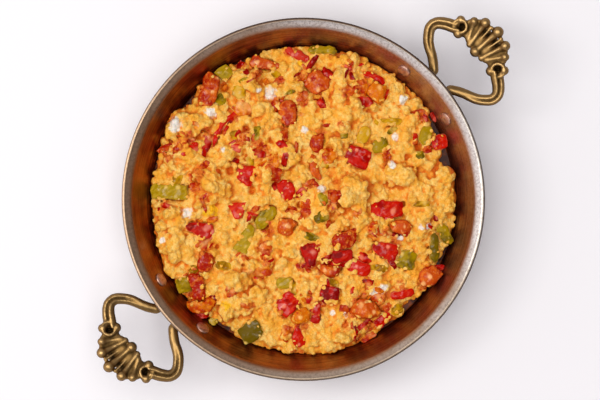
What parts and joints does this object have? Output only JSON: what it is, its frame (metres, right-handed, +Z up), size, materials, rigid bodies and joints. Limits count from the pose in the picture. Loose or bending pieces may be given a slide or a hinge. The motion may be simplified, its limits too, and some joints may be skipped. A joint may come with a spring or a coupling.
{
  "type": "menemen",
  "caption": "Menemen, soft scrambled eggs with diced peppers and tomato, in a round flared pan with two cast brass handles.",
  "frame": {"origin": "middle of the pan's flat bottom, on the table", "axes": "+Z up along the pan's axis; the handles lie along +X and -X"},
  "size_m": [0.2868, 0.2, 0.0533],
  "materials": {
    "tinned_metal": "satin tinned metal with fine scratches",
    "brass": "antique cast brass, dark in its hollows",
    "rivet_metal": "satin, pinkish",
    "egg": "soft scrambled egg, moist",
    "red_pepper": "wet cooked skin",
    "dark_red_pepper": "wet cooked skin",
    "tomato": "wet cooked tomato",
    "tomato_flesh": "wet cooked tomato flesh",
    "green_pepper": "wet cooked skin",
    "yellow_green_pepper": "wet cooked flesh"
  },
  "bodies": {
    "root": {"pan": "tinned_metal", "handle_right": "brass", "handle_left": "brass", "rivet_1": "rivet_metal", "rivet_2": "rivet_metal", "rivet_3": "rivet_metal", "rivet_4": "rivet_metal", "eggs": "egg", "pepper_green_01": "green_pepper", "pepper_green_02": "green_pepper", "pepper_green_03": "green_pepper", "pepper_green_04": "green_pepper", "pepper_green_05": "green_pepper", "pepper_green_06": "green_pepper", "pepper_green_07": "green_pepper", "pepper_green_08": "green_pepper", "pepper_green_09": "green_pepper", "pepper_green_10": "green_pepper", "pepper_green_11": "green_pepper", "pepper_green_12": "green_pepper", "pepper_green_13": "green_pepper", "pepper_green_14": "yellow_green_pepper", "pepper_green_15": "yellow_green_pepper", "pepper_red_01": "tomato", "pepper_red_02": "dark_red_pepper", "pepper_red_03": "red_pepper", "pepper_red_04": "red_pepper", "pepper_red_05": "dark_red_pepper", "pepper_red_06": "red_pepper", "pepper_red_07": "red_pepper", "pepper_red_08": "red_pepper", "pepper_red_09": "tomato", "pepper_red_10": "red_pepper", "pepper_red_11": "dark_red_pepper", "pepper_red_12": "red_pepper", "pepper_red_13": "red_pepper", "pepper_red_14": "dark_red_pepper", "pepper_red_15": "red_pepper", "pepper_red_16": "red_pepper", "pepper_red_17": "dark_red_pepper", "pepper_red_18": "dark_red_pepper", "pepper_red_19": "red_pepper", "pepper_red_20": "red_pepper", "pepper_red_21": "red_pepper", "pepper_red_22": "red_pepper", "tomato_01": "tomato", "tomato_02": "tomato", "tomato_03": "tomato", "tomato_04": "tomato", "tomato_05": "tomato_flesh", "tomato_06": "tomato", "tomato_07": "tomato", "tomato_08": "tomato", "tomato_09": "tomato", "tomato_10": "tomato_flesh", "tomato_11": "tomato", "tomato_12": "tomato", "tomato_13": "tomato_flesh", "tomato_14": "tomato", "tomato_15": "tomato"}
  },
  "joints": []
}
